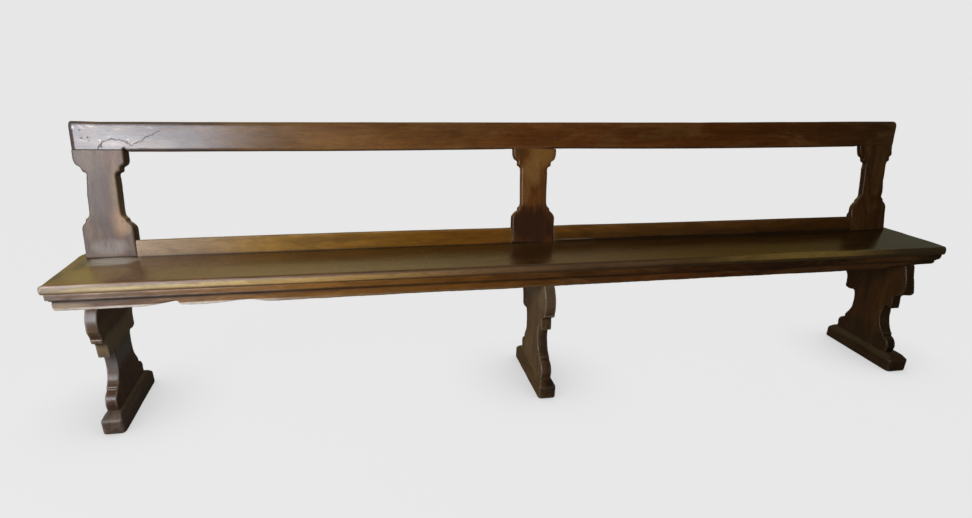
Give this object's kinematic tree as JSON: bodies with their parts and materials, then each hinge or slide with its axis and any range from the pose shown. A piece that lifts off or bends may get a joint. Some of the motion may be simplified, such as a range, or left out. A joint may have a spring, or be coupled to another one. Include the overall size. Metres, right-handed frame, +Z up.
{
  "type": "monks bench",
  "caption": "Long walnut bench with shaped plank legs on sled feet, a moulded seat edge and a raked open back of shaped splats and rails.",
  "frame": {"origin": "on the floor, at the middle of the bench's length and depth", "axes": "+X along the bench to the right as seen from the front, +Y to the back, +Z up"},
  "size_m": [3.055, 0.435, 0.8874],
  "materials": {
    "walnut_seat": "waxed, worn golden along the front edge",
    "walnut_edge": "waxed, rubbed",
    "walnut_back": "waxed, satin gloss",
    "walnut_under": "waxed, dark",
    "walnut_small": "dry, unpolished",
    "wrought_iron": "dark, oxidised"
  },
  "bodies": {
    "root": {"apron_front": "walnut_edge", "apron_left": "walnut_edge", "apron_nail_front_1": "wrought_iron", "apron_nail_front_2": "wrought_iron", "apron_nail_front_3": "wrought_iron", "apron_nail_front_4": "wrought_iron", "apron_nail_front_5": "wrought_iron", "apron_nail_left_1": "wrought_iron", "apron_nail_left_2": "wrought_iron", "apron_nail_right_1": "wrought_iron", "apron_nail_right_2": "wrought_iron", "apron_right": "walnut_edge", "fascia_front": "walnut_edge", "fascia_left": "walnut_edge", "fascia_right": "walnut_edge", "foot_left": "walnut_under", "foot_middle": "walnut_under", "foot_right": "walnut_under", "foot_wedge_left_1": "walnut_small", "foot_wedge_left_2": "walnut_small", "foot_wedge_middle_1": "walnut_small", "foot_wedge_middle_2": "walnut_small", "foot_wedge_right_1": "walnut_small", "foot_wedge_right_2": "walnut_small", "glue_block_right": "walnut_small", "leg_left": "walnut_under", "leg_middle": "walnut_under", "leg_right": "walnut_under", "low_rail_left": "walnut_back", "low_rail_nail_left_1": "wrought_iron", "low_rail_nail_left_2": "wrought_iron", "low_rail_nail_left_3": "wrought_iron", "low_rail_nail_right_1": "wrought_iron", "low_rail_nail_right_2": "wrought_iron", "low_rail_nail_right_3": "wrought_iron", "low_rail_right": "walnut_back", "rail_peg_left_1": "walnut_small", "rail_peg_left_2": "walnut_small", "rail_peg_middle_1": "walnut_small", "rail_peg_middle_2": "walnut_small", "rail_peg_right_1": "walnut_small", "rail_peg_right_2": "walnut_small", "seat_board": "walnut_seat", "seat_wedge_left_1": "walnut_small", "seat_wedge_left_2": "walnut_small", "seat_wedge_middle_1": "walnut_small", "seat_wedge_middle_2": "walnut_small", "seat_wedge_right_1": "walnut_small", "seat_wedge_right_2": "walnut_small", "splat_left": "walnut_back", "splat_middle": "walnut_back", "splat_right": "walnut_back", "top_rail": "walnut_back"}
  },
  "joints": []
}
